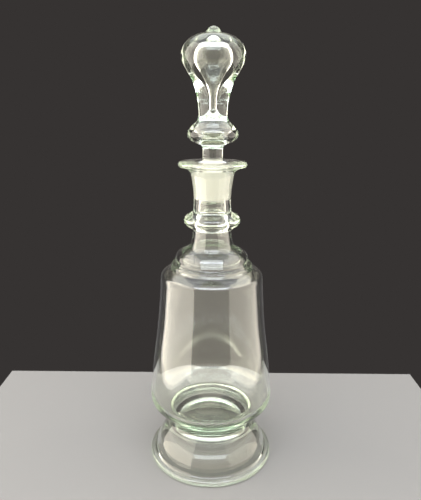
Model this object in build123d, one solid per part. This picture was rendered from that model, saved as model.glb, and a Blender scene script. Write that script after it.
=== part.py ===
"""Stoppered glass decanter, free blown: a domed foot, a tapering body with a stepped shoulder,
a ringed neck with a wide lip, and a hollow pear-shaped stopper with a ground peg.

Millimetres, +Z up. The origin is the centre of the ring that the foot rests on, and every
piece is a solid of revolution about Z. Outlines are lists of (radius, height) points.
"""
import os

from build123d import *

# Driving dimensions
TOTAL_HEIGHT = 320.0

FOOT_RADIUS = 48.5
RIM_THICKNESS = 4.6
RESTING_RING_INNER = 43.3
FOOT_HEIGHT = 29.0
FOOT_HOLLOW_HEIGHT = 26.0

WAIST_RADIUS = 32.0
WAIST_HOLLOW = 1.2
BODY_BASE = 39.2

BODY_RADIUS = 47.3
BODY_RADIUS_HEIGHT = 53.2
BODY_WALL = 2.6
BODY_FLOOR = 41.0
SHOULDER_RADIUS = 37.9
SHOULDER_HEIGHT = 147.6
SHOULDER_INSIDE_HEIGHT = 146.8
FLANGE_RADIUS = 30.0
FLANGE_BOTTOM = 155.8
FLANGE_TOP = 158.5

NECK_BASE = 172.8
NECK_BASE_RADIUS = 15.8
NECK_BASE_BORE_RADIUS = 13.7
NECK_FOOT_RADIUS = 14.1
NECK_FOOT_HEIGHT = 182.0
NECK_WAIST_RADIUS = 13.4
NECK_WAIST_HEIGHT = 205.0
NECK_TOP_RADIUS = 17.3
NECK_TOP = 226.2

NECK_RING_RADIUS = 20.5
NECK_RING_LOW = 184.0
NECK_RING_HIGH = 197.8

LIP_RADIUS = 24.6
LIP_EDGE_THICKNESS = 3.6
LIP_TOP = 232.1
MOUTH_RADIUS = 12.6

GROUND_BOTTOM = 203.0
GROUND_TOP = 228.5
GROUND_BOTTOM_RADIUS = 9.15
GROUND_TOP_RADIUS = 10.0
GROUND_CLEARANCE = 0.08

PLUG_BOTTOM = 203.3
PLUG_CHAMFER = 0.6
PLUG_TAPER_TOP = 227.0
STEM_RADIUS = 7.0
STEM_HEIGHT = 239.0

COLLAR_BASE = 243.5
COLLAR_BASE_RADIUS = 8.5
COLLAR_RADIUS = 17.9
COLLAR_RADIUS_HEIGHT = 250.7
COLLAR_FLOOR = 248.0

HEAD_BASE = 264.0
HEAD_BASE_RADIUS = 9.9
HEAD_RADIUS = 21.7
HEAD_RADIUS_HEIGHT = 302.6
HEAD_TOP = 315.8
HEAD_CAVITY_RADIUS = 12.0
HEAD_CAVITY_TOP = 308.3
AIR_PASSAGE_RADIUS = 3.7
TIP_RADIUS = 5.4

UP = (0, 1)
DOWN = (0, -1)
OUTWARD = (1, 0)
INWARD = (-1, 0)
UP_THE_NECK_FLARE = (-0.4, 1)
DOWN_THE_NECK_FLARE = (0.4, -1)


def turned(*edges):
    """Solid made by turning a closed outline, drawn as radius and height, about Z."""
    return revolve(Plane.XZ * make_face(edges), Axis.Z)


def smooth(*points, tangents):
    """Smooth curve through the points that leaves and arrives along the tangents."""
    return Spline(*points, tangents=tangents, tangent_scalars=[1, 1])


def ground_radius(height, clearance=0.0):
    """Radius of the ground taper at a height, less a clearance."""
    share = (height - GROUND_BOTTOM) / (GROUND_TOP - GROUND_BOTTOM)
    return GROUND_BOTTOM_RADIUS + share * (GROUND_TOP_RADIUS - GROUND_BOTTOM_RADIUS) - clearance


def neck_radius(height):
    """Outer radius of the straight part of the neck, which the neck ring sits on."""
    share = (height - NECK_FOOT_HEIGHT) / (NECK_WAIST_HEIGHT - NECK_FOOT_HEIGHT)
    return NECK_FOOT_RADIUS + share * (NECK_WAIST_RADIUS - NECK_FOOT_RADIUS)


def make_foot():
    """Bell-shaped foot, hollow underneath, with a thick rounded rim that it rests on."""
    edge = RIM_THICKNESS / 2
    resting_ring = Line((RESTING_RING_INNER, 0), (FOOT_RADIUS - edge, 0))
    rim = ThreePointArc(
        (FOOT_RADIUS - edge, 0), (FOOT_RADIUS, edge), (FOOT_RADIUS - edge, RIM_THICKNESS)
    )
    bell = smooth(
        (FOOT_RADIUS - edge, RIM_THICKNESS),
        (43.9, 5.8),
        (43.0, 9.8),
        (40.7, 15.6),
        (36.0, 23.0),
        (33.2, 26.6),
        (WAIST_RADIUS, FOOT_HEIGHT),
        tangents=[INWARD, (-0.3, 1)],
    )
    top = Line((WAIST_RADIUS, FOOT_HEIGHT), (0, FOOT_HEIGHT))
    axis = Line((0, FOOT_HEIGHT), (0, FOOT_HOLLOW_HEIGHT))
    hollow = smooth(
        (0, FOOT_HOLLOW_HEIGHT),
        (16.0, 24.9),
        (28.0, 21.3),
        (35.2, 16.2),
        (39.5, 9.2),
        (41.4, 2.6),
        (RESTING_RING_INNER, 0),
        tangents=[OUTWARD, (1, -0.5)],
    )
    return turned(resting_ring, rim, bell, top, axis, hollow)


def make_waist():
    """Short solid button of glass, drawn in at the side, that joins the foot to the body."""
    middle = (FOOT_HEIGHT + BODY_BASE) / 2
    side = ThreePointArc(
        (WAIST_RADIUS, FOOT_HEIGHT), (WAIST_RADIUS - WAIST_HOLLOW, middle), (WAIST_RADIUS, BODY_BASE)
    )
    top = Line((WAIST_RADIUS, BODY_BASE), (0, BODY_BASE))
    axis = Line((0, BODY_BASE), (0, FOOT_HEIGHT))
    bottom = Line((0, FOOT_HEIGHT), (WAIST_RADIUS, FOOT_HEIGHT))
    return turned(side, top, axis, bottom)


def make_body():
    """Blown vessel: rounded base, tapering wall and stepped shoulder, drawn in to the neck."""
    base = Line((0, BODY_BASE), (WAIST_RADIUS, BODY_BASE))
    lower_curve = smooth(
        (WAIST_RADIUS, BODY_BASE),
        (36.0, 41.0),
        (41.4, 43.9),
        (45.5, 47.2),
        (47.0, 50.1),
        (BODY_RADIUS, BODY_RADIUS_HEIGHT),
        tangents=[(0.9, 0.5), UP],
    )
    wall = smooth(
        (BODY_RADIUS, BODY_RADIUS_HEIGHT),
        (46.6, 61.0),
        (43.7, 87.0),
        (40.5, 112.0),
        (38.7, 132.0),
        (SHOULDER_RADIUS, SHOULDER_HEIGHT),
        tangents=[UP, UP],
    )
    shoulder = smooth(
        (SHOULDER_RADIUS, SHOULDER_HEIGHT),
        (37.3, 150.0),
        (35.7, 151.8),
        (33.2, 153.2),
        (31.1, 154.5),
        (29.8, FLANGE_BOTTOM),
        tangents=[UP, (-0.2, 1)],
    )
    flange = ThreePointArc((29.8, FLANGE_BOTTOM), (FLANGE_RADIUS, 157.1), (28.2, FLANGE_TOP))
    tier = smooth(
        (28.2, FLANGE_TOP),
        (26.6, 159.8),
        (26.8, 162.2),
        (26.1, 164.9),
        (24.2, 166.9),
        (21.3, 168.2),
        (18.2, 169.8),
        (NECK_BASE_RADIUS, NECK_BASE),
        tangents=[(-1, 0.3), UP_THE_NECK_FLARE],
    )
    top = Line((NECK_BASE_RADIUS, NECK_BASE), (NECK_BASE_BORE_RADIUS, NECK_BASE))
    shoulder_inside = smooth(
        (NECK_BASE_BORE_RADIUS, NECK_BASE),
        (15.4, 169.1),
        (18.6, 166.6),
        (22.0, 164.0),
        (23.9, 160.9),
        (24.9, 157.4),
        (26.7, 154.6),
        (28.9, 152.8),
        (31.9, 151.0),
        (34.0, 149.9),
        (35.0, 148.8),
        (SHOULDER_RADIUS - BODY_WALL, SHOULDER_INSIDE_HEIGHT),
        tangents=[DOWN_THE_NECK_FLARE, DOWN],
    )
    wall_inside = smooth(
        (SHOULDER_RADIUS - BODY_WALL, SHOULDER_INSIDE_HEIGHT),
        (36.1, 132.0),
        (37.9, 112.0),
        (41.1, 87.0),
        (44.0, 61.0),
        (44.6, 55.4),
        (44.1, 51.9),
        (42.3, 49.3),
        (38.4, 46.6),
        (31.5, 43.8),
        (20.0, 41.8),
        (0, BODY_FLOOR),
        tangents=[DOWN, INWARD],
    )
    axis = Line((0, BODY_FLOOR), (0, BODY_BASE))
    return turned(
        base, lower_curve, wall, shoulder, flange, tier, top, shoulder_inside, wall_inside, axis
    )


def make_neck():
    """Neck drawn up from the shoulder, opening to a funnel at the top, with a ground bore."""
    flare = smooth(
        (NECK_BASE_RADIUS, NECK_BASE),
        (14.6, 178.0),
        (NECK_FOOT_RADIUS, NECK_FOOT_HEIGHT),
        tangents=[
            UP_THE_NECK_FLARE,
            (NECK_WAIST_RADIUS - NECK_FOOT_RADIUS, NECK_WAIST_HEIGHT - NECK_FOOT_HEIGHT),
        ],
    )
    straight = Line((NECK_FOOT_RADIUS, NECK_FOOT_HEIGHT), (NECK_WAIST_RADIUS, NECK_WAIST_HEIGHT))
    funnel = smooth(
        (NECK_WAIST_RADIUS, NECK_WAIST_HEIGHT),
        (13.8, 212.5),
        (14.8, 219.5),
        (15.9, 224.2),
        (NECK_TOP_RADIUS, NECK_TOP),
        tangents=[UP, (1, 1)],
    )
    seat_top = ground_radius(NECK_TOP)
    seat = Line((NECK_TOP_RADIUS, NECK_TOP), (seat_top, NECK_TOP))
    ground_bore = Line((seat_top, NECK_TOP), (GROUND_BOTTOM_RADIUS, GROUND_BOTTOM))
    blown_bore = smooth(
        (GROUND_BOTTOM_RADIUS, GROUND_BOTTOM),
        (9.5, 199.0),
        (10.6, 192.5),
        (12.0, 185.5),
        (12.6, 178.0),
        (NECK_BASE_BORE_RADIUS, NECK_BASE),
        tangents=[(0.1, -1), DOWN_THE_NECK_FLARE],
    )
    bottom = Line((NECK_BASE_BORE_RADIUS, NECK_BASE), (NECK_BASE_RADIUS, NECK_BASE))
    return turned(flare, straight, funnel, seat, ground_bore, blown_bore, bottom)


def make_neck_ring():
    """Rounded trail of glass laid round the neck below the stopper's peg."""
    low = (neck_radius(NECK_RING_LOW), NECK_RING_LOW)
    high = (neck_radius(NECK_RING_HIGH), NECK_RING_HIGH)
    outside = smooth(
        low,
        (17.6, 186.2),
        (20.0, 188.4),
        (NECK_RING_RADIUS, 190.7),
        (19.3, 193.1),
        (16.6, 195.0),
        high,
        tangents=[(1, 0.2), (-0.3, 1)],
    )
    inside = Line(high, low)
    return turned(outside, inside)


def make_lip():
    """Wide lip with a thick rounded edge, laid on the top of the neck, round the mouth."""
    edge = LIP_EDGE_THICKNESS / 2
    mouth_low = (ground_radius(GROUND_TOP), GROUND_TOP)
    seat_top = (ground_radius(NECK_TOP), NECK_TOP)
    ground_bore = Line(seat_top, mouth_low)
    mouth = ThreePointArc(mouth_low, (10.8, 231.0), (MOUTH_RADIUS, LIP_TOP))
    top = Line((MOUTH_RADIUS, LIP_TOP), (LIP_RADIUS - edge, LIP_TOP))
    rim = ThreePointArc(
        (LIP_RADIUS - edge, LIP_TOP),
        (LIP_RADIUS, LIP_TOP - edge),
        (LIP_RADIUS - edge, LIP_TOP - LIP_EDGE_THICKNESS),
    )
    underside = smooth(
        (LIP_RADIUS - edge, LIP_TOP - LIP_EDGE_THICKNESS),
        (20.2, 227.8),
        (NECK_TOP_RADIUS, NECK_TOP),
        tangents=[INWARD, (-1, -1)],
    )
    seat = Line((NECK_TOP_RADIUS, NECK_TOP), seat_top)
    return turned(ground_bore, mouth, top, rim, underside, seat)


def make_stopper_plug():
    """Solid peg with a ground taper that fits the neck, and the clear stem above it."""
    taper_low_height = PLUG_BOTTOM + PLUG_CHAMFER
    taper_low = (ground_radius(taper_low_height, GROUND_CLEARANCE), taper_low_height)
    taper_high = (ground_radius(PLUG_TAPER_TOP, GROUND_CLEARANCE), PLUG_TAPER_TOP)
    bottom_edge = (taper_low[0] - PLUG_CHAMFER, PLUG_BOTTOM)
    bottom = Line((0, PLUG_BOTTOM), bottom_edge)
    chamfer = Line(bottom_edge, taper_low)
    taper = Line(taper_low, taper_high)
    stem = smooth(
        taper_high,
        (9.3, 228.6),
        (8.0, 230.2),
        (7.3, 232.4),
        (7.1, 235.4),
        (STEM_RADIUS, STEM_HEIGHT),
        (7.3, 241.8),
        (COLLAR_BASE_RADIUS, COLLAR_BASE),
        tangents=[(-0.1, 1), (1, 1)],
    )
    top = Line((COLLAR_BASE_RADIUS, COLLAR_BASE), (0, COLLAR_BASE))
    axis = Line((0, COLLAR_BASE), (0, PLUG_BOTTOM))
    return turned(bottom, chamfer, taper, stem, top, axis)


def make_stopper_collar():
    """Bulging collar under the stopper's head, hollow, with its air space open to the head's."""
    outside = smooth(
        (COLLAR_BASE_RADIUS, COLLAR_BASE),
        (13.2, 245.3),
        (16.9, 248.0),
        (COLLAR_RADIUS, COLLAR_RADIUS_HEIGHT),
        (16.8, 253.6),
        (13.3, 257.6),
        (10.6, 260.6),
        (HEAD_BASE_RADIUS, HEAD_BASE),
        tangents=[(1, 0.6), UP],
    )
    top = Line((HEAD_BASE_RADIUS, HEAD_BASE), (AIR_PASSAGE_RADIUS, HEAD_BASE))
    cavity = smooth(
        (AIR_PASSAGE_RADIUS, HEAD_BASE),
        (6.2, 261.9),
        (9.6, 258.7),
        (12.4, 255.0),
        (13.4, 251.6),
        (11.4, 249.1),
        (6.0, 248.2),
        (0, COLLAR_FLOOR),
        tangents=[(0.6, -1), INWARD],
    )
    axis = Line((0, COLLAR_FLOOR), (0, COLLAR_BASE))
    bottom = Line((0, COLLAR_BASE), (COLLAR_BASE_RADIUS, COLLAR_BASE))
    return turned(outside, top, cavity, axis, bottom)


def make_stopper_head():
    """Thick pear-shaped head with a pear-shaped air space that narrows to a thin passage."""
    outside = smooth(
        (HEAD_BASE_RADIUS, HEAD_BASE),
        (10.2, 268.6),
        (11.3, 276.0),
        (13.6, 284.0),
        (18.2, 292.7),
        (20.9, 298.0),
        (HEAD_RADIUS, HEAD_RADIUS_HEIGHT),
        (20.4, 306.9),
        (17.4, 310.9),
        (12.2, 314.0),
        (TIP_RADIUS, HEAD_TOP),
        tangents=[UP, (-1, 0.15)],
    )
    top = Line((TIP_RADIUS, HEAD_TOP), (0, HEAD_TOP))
    axis = Line((0, HEAD_TOP), (0, HEAD_CAVITY_TOP))
    cavity = smooth(
        (0, HEAD_CAVITY_TOP),
        (7.2, 307.2),
        (10.9, 304.8),
        (HEAD_CAVITY_RADIUS, 301.6),
        (11.4, 297.7),
        (9.4, 293.6),
        (6.3, 288.4),
        (3.6, 283.0),
        (2.3, 278.0),
        (1.95, 272.0),
        (2.4, 266.6),
        (AIR_PASSAGE_RADIUS, HEAD_BASE),
        tangents=[OUTWARD, (0.6, -1)],
    )
    bottom = Line((AIR_PASSAGE_RADIUS, HEAD_BASE), (HEAD_BASE_RADIUS, HEAD_BASE))
    return turned(outside, top, axis, cavity, bottom)


def make_stopper_tip():
    """Small solid nub drawn up from the crown of the stopper's head."""
    outside = smooth(
        (TIP_RADIUS, HEAD_TOP),
        (4.7, 317.0),
        (3.0, 318.9),
        (0, TOTAL_HEIGHT),
        tangents=[(-0.6, 1), INWARD],
    )
    axis = Line((0, TOTAL_HEIGHT), (0, HEAD_TOP))
    bottom = Line((0, HEAD_TOP), (TIP_RADIUS, HEAD_TOP))
    return turned(outside, axis, bottom)


PIECES = {
    "foot": make_foot,
    "waist": make_waist,
    "body": make_body,
    "neck": make_neck,
    "neck_ring": make_neck_ring,
    "lip": make_lip,
    "stopper_plug": make_stopper_plug,
    "stopper_collar": make_stopper_collar,
    "stopper_head": make_stopper_head,
    "stopper_tip": make_stopper_tip,
}

os.makedirs("parts", exist_ok=True)
for node, make in PIECES.items():
    export_step(make(), f"parts/{node}.step")
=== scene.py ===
"""Looks of a stoppered glass decanter: free-blown soda-lime glass with a ground stopper."""

import math
import random

import bmesh
import bpy
import numpy as np
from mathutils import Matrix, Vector, noise


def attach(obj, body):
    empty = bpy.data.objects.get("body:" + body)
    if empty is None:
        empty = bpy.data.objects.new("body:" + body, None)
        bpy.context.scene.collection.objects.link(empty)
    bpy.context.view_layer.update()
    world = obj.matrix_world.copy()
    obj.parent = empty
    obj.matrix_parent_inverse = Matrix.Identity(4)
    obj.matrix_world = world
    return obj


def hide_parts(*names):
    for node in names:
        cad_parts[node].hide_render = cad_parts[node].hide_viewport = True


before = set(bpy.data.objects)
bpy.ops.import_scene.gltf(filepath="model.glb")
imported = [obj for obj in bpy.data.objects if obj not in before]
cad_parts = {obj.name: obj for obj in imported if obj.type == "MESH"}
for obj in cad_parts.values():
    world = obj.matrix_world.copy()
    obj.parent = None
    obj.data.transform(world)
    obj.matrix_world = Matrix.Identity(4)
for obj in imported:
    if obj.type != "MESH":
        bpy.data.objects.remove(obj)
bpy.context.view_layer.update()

scene = bpy.context.scene
MM = 0.001


# Camera. A phone held in front of the decanter and a little above its shoulder, tilted down.
CAMERA_DISTANCE = 0.354
CAMERA_HEIGHT = 0.2666
CAMERA_TILT = math.radians(15.6)
CAMERA_YAW = math.radians(0.28)
CAMERA_ROLL = math.radians(-0.41)

camera = bpy.data.objects.new("camera", bpy.data.cameras.new("camera"))
camera.data.sensor_width = 36.0
camera.data.lens = 36.0
camera.data.clip_start = 0.01
camera.location = (0, -CAMERA_DISTANCE, CAMERA_HEIGHT)
camera.rotation_mode = "XYZ"
camera.rotation_euler = (math.radians(90) - CAMERA_TILT, CAMERA_ROLL, CAMERA_YAW)
scene.collection.objects.link(camera)
scene.camera = camera


# Decanter. One continuous piece of soda-lime glass, free blown and shaped at the furnace. The
# foot, waist, neck ring and lip were added hot and have melted into the body, so no joint shows.
# Lengths here are in mm.
SEGMENTS = 144
RINGS_EVERY = 1.15


def smooth(points, start, end):
    """Smooth curve through (radius, height) points, in mm, that leaves and arrives as told."""
    p = np.array(points, float)
    chord = np.linalg.norm(np.diff(p, axis=0), axis=1)
    t = np.concatenate([[0], np.cumsum(chord)])
    n = len(p)
    a = np.zeros((n, n))
    b = np.zeros((n, 2))
    a[0, 0] = a[-1, -1] = 1
    b[0] = np.array(start, float) / np.linalg.norm(start)
    b[-1] = np.array(end, float) / np.linalg.norm(end)
    for i in range(1, n - 1):
        before, after = chord[i - 1], chord[i]
        a[i, i - 1], a[i, i], a[i, i + 1] = after, 2 * (before + after), before
        b[i] = 3 * (after * (p[i] - p[i - 1]) / before + before * (p[i + 1] - p[i]) / after)
    slope = np.linalg.solve(a, b)
    line = []
    for i in range(n - 1):
        steps = max(2, math.ceil(chord[i] / RINGS_EVERY))
        for u in np.linspace(0, 1, steps, endpoint=False):
            line.append(
                p[i] * (2 * u**3 - 3 * u**2 + 1)
                + p[i + 1] * (3 * u**2 - 2 * u**3)
                + chord[i] * (slope[i] * (u**3 - 2 * u**2 + u) + slope[i + 1] * (u**3 - u**2))
            )
    return [tuple(q) for q in line] + [tuple(p[-1])]


def straight(start, end):
    """Points along a straight stretch of outline."""
    steps = max(1, math.ceil(math.dist(start, end) / RINGS_EVERY))
    return [tuple(q) for q in np.linspace(start, end, steps + 1)]


def arc(start, middle, end, steps=10):
    """Points along a round edge through three points."""
    (ax, ay), (bx, by), (cx, cy) = start, middle, end
    d = 2 * (ax * (by - cy) + bx * (cy - ay) + cx * (ay - by))
    ux = ((ax**2 + ay**2) * (by - cy) + (bx**2 + by**2) * (cy - ay) + (cx**2 + cy**2) * (ay - by)) / d
    uy = ((ax**2 + ay**2) * (cx - bx) + (bx**2 + by**2) * (ax - cx) + (cx**2 + cy**2) * (bx - ax)) / d
    first = math.atan2(ay - uy, ax - ux)
    half = (math.atan2(by - uy, bx - ux) - first + math.pi) % (2 * math.pi) - math.pi
    whole = (math.atan2(cy - uy, cx - ux) - first) % (2 * math.pi)
    if half < 0:
        whole -= 2 * math.pi
    radius = math.hypot(ax - ux, ay - uy)
    angles = [first + whole * i / steps for i in range(steps + 1)]
    return [(ux + radius * math.cos(v), uy + radius * math.sin(v)) for v in angles]


def outline(*stretches):
    """One outline from stretches that follow each other, without the points that they share."""
    line = []
    for stretch in stretches:
        line += stretch if not line else stretch[1:]
    return line


# Soft glass sags a little out of round, and the jacks that shape it leave faint level rings.
SAG_SPACING = 38.0
SAG_DEPTH = 0.14
TOOL_RING_SPACING = 6.0
TOOL_RING_WANDER = 40.0
TOOL_RING_DEPTH = 0.012


def blown(radius, height, angle):
    """How far, in mm, free-blown glass stands inside its true circle at a place."""
    x, y = radius * math.cos(angle), radius * math.sin(angle)
    sag = noise.noise(Vector((x, y, height)) / SAG_SPACING)
    rings = Vector((x / TOOL_RING_WANDER, y / TOOL_RING_WANDER, height / TOOL_RING_SPACING))
    ripple = noise.noise(rings + Vector((7, 3, 1)))
    return SAG_DEPTH * (1 + sag) + TOOL_RING_DEPTH * (1 + ripple)


def ground_share(height, low, high, fade=0.5):
    """1 between two heights and 0 outside them, fading over a short way."""
    return min(1.0, max(0.0, (height - low) / fade)) * min(1.0, max(0.0, (high - height) / fade))


# A point nearer the axis than this is one vertex; the unevenness fades out towards the axis.
ON_AXIS = 1e-6
CALM_RADIUS = 8.0


def turn(name, shells, wobble, frost):
    """Closed mesh of outlines turned about Z. frost gives how much a point was ground matt."""
    mesh = bmesh.new()
    matt = mesh.verts.layers.float.new("matt")
    for line in shells:
        rings = []
        for radius, height in line:
            ring = []
            for k in range(SEGMENTS if radius > ON_AXIS else 1):
                angle = 2 * math.pi * k / SEGMENTS
                r = radius
                if radius > ON_AXIS:
                    fade = min(1.0, radius / CALM_RADIUS)
                    r -= fade * wobble(radius, height) * blown(radius, height, angle)
                vert = mesh.verts.new((r * math.cos(angle) * MM, r * math.sin(angle) * MM, height * MM))
                vert[matt] = frost(radius, height)
                ring.append(vert)
            rings.append(ring)
        for a, b in zip(rings, rings[1:]):
            for k in range(SEGMENTS):
                n = (k + 1) % SEGMENTS
                if len(a) == 1:
                    mesh.faces.new((a[0], b[n], b[k]))
                elif len(b) == 1:
                    mesh.faces.new((a[k], a[n], b[0]))
                else:
                    mesh.faces.new((a[k], a[n], b[n], b[k]))
    data = bpy.data.meshes.new(name)
    mesh.to_mesh(data)
    mesh.free()
    data.polygons.foreach_set("use_smooth", [True] * len(data.polygons))
    piece = bpy.data.objects.new(name, data)
    scene.collection.objects.link(piece)
    return piece


SEED_STRETCH = 1.5


def seeds(piece, places):
    """Tiny air bubbles sealed in the glass, each a closed void, slightly drawn out upwards."""
    mesh = bmesh.new()
    mesh.from_mesh(piece.data)
    for radius, angle, height, size in places:
        made = bmesh.ops.create_icosphere(mesh, subdivisions=2, radius=size * MM)
        centre = Vector((radius * math.cos(angle), radius * math.sin(angle), height)) * MM
        for vert in made["verts"]:
            vert.co.z *= SEED_STRETCH
            vert.co += centre
        faces = {face for vert in made["verts"] for face in vert.link_faces}
        for face in faces:
            face.smooth = True
        bmesh.ops.reverse_faces(mesh, faces=list(faces))
    mesh.to_mesh(piece.data)
    mesh.free()


foot_outside = outline(
    straight((43.3, 0), (46.2, 0)),
    arc((46.2, 0), (48.5, 2.3), (46.2, 4.6)),
    smooth(
        [(46.2, 4.6), (43.9, 5.8), (43.0, 9.8), (40.7, 15.6), (36.0, 23.0), (33.2, 26.6), (32.0, 29.0)],
        (-1, 0), (-0.3, 1),
    ),
    arc((32.0, 29.0), (30.8, 34.1), (32.0, 39.2)),
)
body_outside = outline(
    smooth(
        [(32.0, 39.2), (36.0, 41.0), (41.4, 43.9), (45.5, 47.2), (47.0, 50.1), (47.3, 53.2)],
        (0.9, 0.5), (0, 1),
    ),
    smooth(
        [(47.3, 53.2), (46.6, 61.0), (43.7, 87.0), (40.5, 112.0), (38.7, 132.0), (37.9, 147.6)],
        (0, 1), (0, 1),
    ),
    smooth(
        [(37.9, 147.6), (37.3, 150.0), (35.7, 151.8), (33.2, 153.2), (31.1, 154.5), (29.8, 155.8)],
        (0, 1), (-0.2, 1),
    ),
    arc((29.8, 155.8), (30.0, 157.1), (28.2, 158.5)),
    smooth(
        [(28.2, 158.5), (26.6, 159.8), (26.8, 162.2), (26.1, 164.9), (24.2, 166.9), (21.3, 168.2),
         (18.2, 169.8), (15.8, 172.8)],
        (-1, 0.3), (-0.4, 1),
    ),
)
neck_outside = outline(
    smooth([(15.8, 172.8), (14.6, 178.0), (14.1, 182.0)], (-0.4, 1), (-0.7, 23)),
    straight((14.1, 182.0), (14.04, 184.0)),
    smooth(
        [(14.04, 184.0), (17.6, 186.2), (20.0, 188.4), (20.5, 190.7), (19.3, 193.1), (16.6, 195.0),
         (13.62, 197.8)],
        (1, 0.2), (-0.3, 1),
    ),
    straight((13.62, 197.8), (13.4, 205.0)),
    smooth([(13.4, 205.0), (13.8, 212.5), (14.8, 219.5), (15.9, 224.2), (17.3, 226.2)], (0, 1), (1, 1)),
    smooth([(17.3, 226.2), (20.2, 227.8), (22.8, 228.5)], (1, 1), (1, 0)),
    arc((22.8, 228.5), (24.6, 230.3), (22.8, 232.1)),
    straight((22.8, 232.1), (12.6, 232.1)),
    arc((12.6, 232.1), (10.8, 231.0), (10.0, 228.5)),
)
decanter_inside = outline(
    straight((10.0, 228.5), (9.15, 203.0)),
    smooth(
        [(9.15, 203.0), (9.5, 199.0), (10.6, 192.5), (12.0, 185.5), (12.6, 178.0), (13.7, 172.8)],
        (0.1, -1), (0.4, -1),
    ),
    smooth(
        [(13.7, 172.8), (15.4, 169.1), (18.6, 166.6), (22.0, 164.0), (23.9, 160.9), (24.9, 157.4),
         (26.7, 154.6), (28.9, 152.8), (31.9, 151.0), (34.0, 149.9), (35.0, 148.8), (35.3, 146.8)],
        (0.4, -1), (0, -1),
    ),
    smooth(
        [(35.3, 146.8), (36.1, 132.0), (37.9, 112.0), (41.1, 87.0), (44.0, 61.0), (44.6, 55.4),
         (44.1, 51.9), (42.3, 49.3), (38.4, 46.6), (31.5, 43.8), (20.0, 41.8), (0, 41.0)],
        (0, -1), (-1, 0),
    ),
)
foot_hollow = smooth(
    [(0, 26.0), (16.0, 24.9), (28.0, 21.3), (35.2, 16.2), (39.5, 9.2), (41.4, 2.6), (43.3, 0)],
    (1, 0), (1, -0.5),
)
decanter_outline = outline(foot_hollow, foot_outside, body_outside, neck_outside, decanter_inside)


# The neck's bore was ground with the stopper's own peg, between these heights.
BORE_RADIUS = 10.3
BORE_MOUTH_RADIUS = 13
BORE_TRUE_FROM = 200
GROUND_LOW = 205.6
GROUND_HIGH = 229.5
FOOT_WEAR = 0.35
FOOT_WEAR_HEIGHT = 0.5


def decanter_wobble(radius, height):
    """The ground bore and the resting ring are true; the blown surfaces aren't."""
    in_bore = radius < BORE_MOUTH_RADIUS and height > BORE_TRUE_FROM
    return 0.0 if in_bore or height < 1 else 1.0


def decanter_frost(radius, height):
    """Ground inside the mouth, and scuffed where the foot stands."""
    bore = ground_share(height, GROUND_LOW, GROUND_HIGH, fade=0.8) if radius < BORE_RADIUS else 0.0
    worn = FOOT_WEAR * ground_share(height, -1.0, FOOT_WEAR_HEIGHT)
    return max(bore, worn)


def radius_at(line, height):
    """Radius of the outline's point that is nearest to a height."""
    return min(line, key=lambda point: abs(point[1] - height))[0]


decanter = turn("decanter_glass", [decanter_outline], decanter_wobble, decanter_frost)

# The bubbles hang in the middle of the body's wall. Inside points beyond WALL_INSIDE are the wall.
SEED_COUNT = 18
SEED_HEIGHTS = (62, 128)
SEED_SIZES = (0.15, 0.4)
WALL_INSIDE = 34

wall_inside = [point for point in decanter_inside if point[0] > WALL_INSIDE]
draw = random.Random(11)
bubbles = []
for _ in range(SEED_COUNT):
    bubble_height = draw.uniform(*SEED_HEIGHTS)
    middle = (radius_at(body_outside, bubble_height) + radius_at(wall_inside, bubble_height)) / 2
    bubbles.append((middle, draw.uniform(0, 2 * math.pi), bubble_height, draw.uniform(*SEED_SIZES)))
seeds(decanter, bubbles)


def linear(hex_colour):
    """Linear RGBA of an sRGB hex colour."""
    parts = [int(hex_colour[i : i + 2], 16) / 255 for i in (1, 3, 5)]
    return (*[c / 12.92 if c <= 0.04045 else ((c + 0.055) / 1.055) ** 2.4 for c in parts], 1.0)


def node(material, kind, links=None, **settings):
    """Adds a shader node. settings set its properties and inputs; links say what feeds its inputs."""
    made = material.node_tree.nodes.new("ShaderNode" + kind)
    for key, value in settings.items():
        if hasattr(made, key):
            setattr(made, key, value)
        else:
            made.inputs[key.replace("_", " ")].default_value = value
    for socket, source in (links or {}).items():
        material.node_tree.links.new(source, made.inputs[socket])
    return made


def new_material(name):
    """A material with no nodes in it yet."""
    material = bpy.data.materials.new(name)
    material.use_nodes = True
    material.node_tree.nodes.clear()
    return material


# Soda-lime glass, fire polished where it was blown and ground with wet grit where the peg seats.
# The eye sees through it, with bent edges that go faintly green where it is thick, slow waves in
# the reflections, a thin pale film along the outline, and a white frost on the ground surfaces.
# The grit is drawn far coarser than the real one, which would be too fine to show.
POLISHED = "#FBFCF8"
FROSTED = "#E9E8E0"
THICK_GREEN = "#CFDDCB"
BLOWN_WAVE_MM = 14
GRIT_MM = 0.9

glass = new_material("soda_lime_glass")
place = node(glass, "TexCoord").outputs["Object"]
matt = node(glass, "Attribute", attribute_name="matt").outputs["Fac"]
waves = node(glass, "TexNoise", {"Vector": place}, Scale=1000 / BLOWN_WAVE_MM, Detail=1.0).outputs["Fac"]
grit = node(glass, "TexNoise", {"Vector": place}, Scale=1000 / GRIT_MM, Detail=3.0).outputs["Fac"]
rough = node(glass, "MapRange", {"Value": matt}, To_Min=0.0, To_Max=0.62).outputs["Result"]
clear = node(glass, "MapRange", {"Value": matt}, To_Min=1.0, To_Max=0.45).outputs["Result"]
drawn = node(glass, "Bump", {"Height": waves}, Strength=0.06, Distance=0.0004).outputs["Normal"]
ground_depth = node(glass, "Math", {0: grit, 1: matt}, operation="MULTIPLY").outputs["Value"]
surface = node(
    glass, "Bump", {"Height": ground_depth, "Normal": drawn}, Strength=0.6, Distance=0.0002
).outputs["Normal"]
colour = node(glass, "Mix", {0: matt}, data_type="RGBA")
colour.inputs[6].default_value = linear(POLISHED)
colour.inputs[7].default_value = linear(FROSTED)
shader = node(
    glass, "BsdfPrincipled",
    {"Base Color": colour.outputs[2], "Roughness": rough, "Transmission Weight": clear, "Normal": surface},
    IOR=1.52, Sheen_Weight=0.12, Sheen_Roughness=0.3,
)
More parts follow.
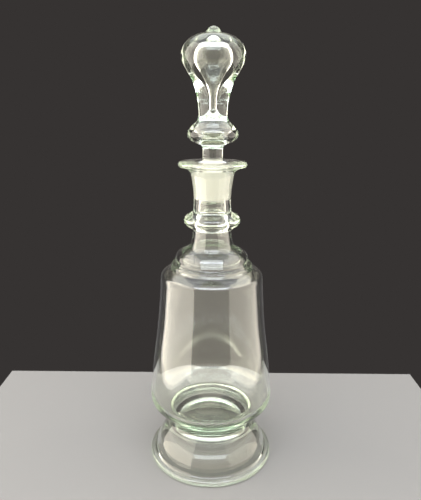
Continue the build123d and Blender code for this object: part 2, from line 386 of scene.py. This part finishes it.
tint = node(glass, "VolumeAbsorption", Color=linear(THICK_GREEN), Density=20.0)
node(glass, "OutputMaterial", {"Surface": shader.outputs["BSDF"], "Volume": tint.outputs["Volume"]})

decanter.data.materials.append(glass)
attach(decanter, "decanter")
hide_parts("foot", "waist", "body", "neck", "neck_ring", "lip")


# Stopper. Thick glass blown with a pear-shaped air space, drawn in to a collar, with a solid peg
# that was ground into the decanter's neck with wet grit. The peg's taper is matt white.
PEG_BLOWN_FROM = 230
PEG_FROST_LOW = 205.0
PEG_TOP = 234.0
HEAD_WOBBLE = 0.5

peg_outside = outline(
    straight((0, 203.3), (8.49, 203.3)),
    straight((8.49, 203.3), (9.09, 203.9)),
    straight((9.09, 203.9), (9.87, 227.0)),
    smooth(
        [(9.87, 227.0), (9.3, 228.6), (8.0, 230.2), (7.3, 232.4), (7.1, 235.4), (7.0, 239.0),
         (7.3, 241.8), (8.5, 243.5)],
        (-0.1, 1), (1, 1),
    ),
)
head_outside = outline(
    smooth(
        [(8.5, 243.5), (13.2, 245.3), (16.9, 248.0), (17.9, 250.7), (16.8, 253.6), (13.3, 257.6),
         (10.6, 260.6), (9.9, 264.0)],
        (1, 0.6), (0, 1),
    ),
    smooth(
        [(9.9, 264.0), (10.2, 268.6), (11.3, 276.0), (13.6, 284.0), (18.2, 292.7), (20.9, 298.0),
         (21.7, 302.6), (20.4, 306.9), (17.4, 310.9), (12.2, 314.0), (5.4, 315.8)],
        (0, 1), (-1, 0.15),
    ),
    smooth([(5.4, 315.8), (4.7, 317.0), (3.0, 318.9), (0, 320.0)], (-0.6, 1), (-1, 0)),
)
air_space = outline(
    smooth(
        [(0, 308.3), (7.2, 307.2), (10.9, 304.8), (12.0, 301.6), (11.4, 297.7), (9.4, 293.6),
         (6.3, 288.4), (3.6, 283.0), (2.3, 278.0), (1.95, 272.0), (2.4, 266.6), (3.7, 264.0)],
        (1, 0), (0.6, -1),
    ),
    smooth(
        [(3.7, 264.0), (6.2, 261.9), (9.6, 258.7), (12.4, 255.0), (13.4, 251.6), (11.4, 249.1),
         (6.0, 248.2), (0, 248.0)],
        (0.6, -1), (-1, 0),
    ),
)


def stopper_wobble(radius, height):
    """The ground peg is true; the blown head isn't."""
    return 0.0 if height < PEG_BLOWN_FROM else HEAD_WOBBLE


def stopper_frost(radius, height):
    """Ground from just above the peg's end, which stays clear, to a little above the lip."""
    return ground_share(height, PEG_FROST_LOW, PEG_TOP, fade=1.5)


stopper_outline = outline(peg_outside, head_outside)
stopper = turn("stopper_glass", [stopper_outline, air_space], stopper_wobble, stopper_frost)
stopper.data.materials.append(glass)
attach(stopper, "stopper")
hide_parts("stopper_plug", "stopper_collar", "stopper_head", "stopper_tip")


# Studio. A grey matt board under the decanter, a dark cloth hung behind it, and a bright room round
# the other sides. Three upright soft lights stand left, right and in front, and one hangs overhead.
TABLE_SIZE = (0.42, 0.35, 0.012)
TABLE_SHIFT = -0.055
TABLE_GAP = 0.0001

bpy.ops.mesh.primitive_cube_add(size=1)
table = bpy.context.object
table.name = "floor"
table.scale = TABLE_SIZE
table.location = (0, TABLE_SHIFT, -TABLE_SIZE[2] / 2 - TABLE_GAP)

# Painted board, rolled matt: an even grey with no shine, so that only the glass draws the eye.
paint = new_material("pale_table")
board = node(paint, "BsdfPrincipled", Base_Color=linear("#696866"), Roughness=0.75)
node(paint, "OutputMaterial", {"Surface": board.outputs["BSDF"]})
table.data.materials.append(paint)

# The room behind everything: dark woven cloth round +Y, up to a soft top edge, and painted walls
# that go from a dim warm white to a bright cool ceiling.
CLOTH = "#363332"
WALL = "#FFF6E6"
CEILING = "#F6F9FF"

world = bpy.data.worlds.new("surround")
world.use_nodes = True
world.node_tree.nodes.clear()
toward = node(world, "SeparateXYZ", {0: node(world, "TexCoord").outputs["Generated"]})
x_squared = node(world, "Math", {0: toward.outputs["X"], 1: toward.outputs["X"]}, operation="MULTIPLY")
y_squared = node(world, "Math", {0: toward.outputs["Y"], 1: toward.outputs["Y"]}, operation="MULTIPLY")
level = node(world, "Math", {0: x_squared.outputs[0], 1: y_squared.outputs[0]}, operation="ADD")
level = node(world, "Math", {0: level.outputs[0]}, operation="SQRT")
behind = node(world, "Math", {0: toward.outputs["Y"], 1: level.outputs[0]}, operation="DIVIDE")
behind = node(world, "MapRange", {"Value": behind.outputs[0]}, From_Min=0.40, From_Max=0.50)
under = node(world, "MapRange", {"Value": toward.outputs["Z"]}, From_Min=0.62, From_Max=0.54)
cloth = node(world, "Math", {0: behind.outputs[0], 1: under.outputs[0]}, operation="MULTIPLY")
up = node(world, "MapRange", {"Value": toward.outputs["Z"]}, interpolation_type="SMOOTHSTEP",
          From_Min=0.15, From_Max=0.9)
room_colour = node(world, "Mix", {0: up.outputs["Result"]}, data_type="RGBA")
room_colour.inputs[6].default_value = linear(WALL)
room_colour.inputs[7].default_value = linear(CEILING)
room_level = node(world, "MapRange", {"Value": up.outputs["Result"]}, To_Min=0.7, To_Max=2.2)
room = node(world, "Background", {"Color": room_colour.outputs[2], "Strength": room_level.outputs["Result"]})
drape = node(world, "Background", Color=linear(CLOTH), Strength=1.0)
mixed = node(world, "MixShader", {0: cloth.outputs[0], 1: room.outputs[0], 2: drape.outputs[0]})
node(world, "OutputWorld", {"Surface": mixed.outputs[0]})
scene.world = world


def soft_light(name, place, turned, width, depth, radiance, colour):
    """A soft rectangular light of a given radiance, which the camera doesn't see."""
    light = bpy.data.lights.new(name, "AREA")
    light.shape = "RECTANGLE"
    light.size = width
    light.size_y = depth
    light.energy = radiance * math.pi * width * depth
    light.color = linear(colour)[:3]
    lamp = bpy.data.objects.new(name, light)
    lamp.location = place
    lamp.rotation_euler = turned
    lamp.visible_camera = False
    scene.collection.objects.link(lamp)


SOFTBOX_DISTANCE = 0.85
SOFTBOX_LOW = -0.3
SOFTBOX_HIGH = 1.4
SOFTBOX_WIDTH = 1.4
LAMP_WARM = "#FFF6E8"
WINDOW_COOL = "#F2F7FF"

for side, azimuth, radiance in (("left", -78, 4.1), ("right", 78, 2.3), ("front", 0, 0.9)):
    a = math.radians(azimuth)
    stand = (math.sin(a) * SOFTBOX_DISTANCE, -math.cos(a) * SOFTBOX_DISTANCE)
    soft_light(
        "softbox_" + side, (*stand, (SOFTBOX_LOW + SOFTBOX_HIGH) / 2), (math.radians(90), 0, a),
        SOFTBOX_WIDTH, SOFTBOX_HIGH - SOFTBOX_LOW, radiance, LAMP_WARM,
    )

WINDOW_PLACE = (0, -0.6, 1.15)
WINDOW_TILT = math.radians(32)
WINDOW_WIDTH = 1.3
WINDOW_DEPTH = 0.5

soft_light(
    "window_overhead", WINDOW_PLACE, (WINDOW_TILT, 0, 0),
    WINDOW_WIDTH, WINDOW_DEPTH, 9.0, WINDOW_COOL,
)

# Light is bent and mirrored many times inside the thick glass of the foot and stopper.
GLASS_BOUNCES = 32

scene.view_settings.view_transform = "Standard"
scene.cycles.max_bounces = GLASS_BOUNCES
scene.cycles.glossy_bounces = GLASS_BOUNCES
scene.cycles.transmission_bounces = GLASS_BOUNCES
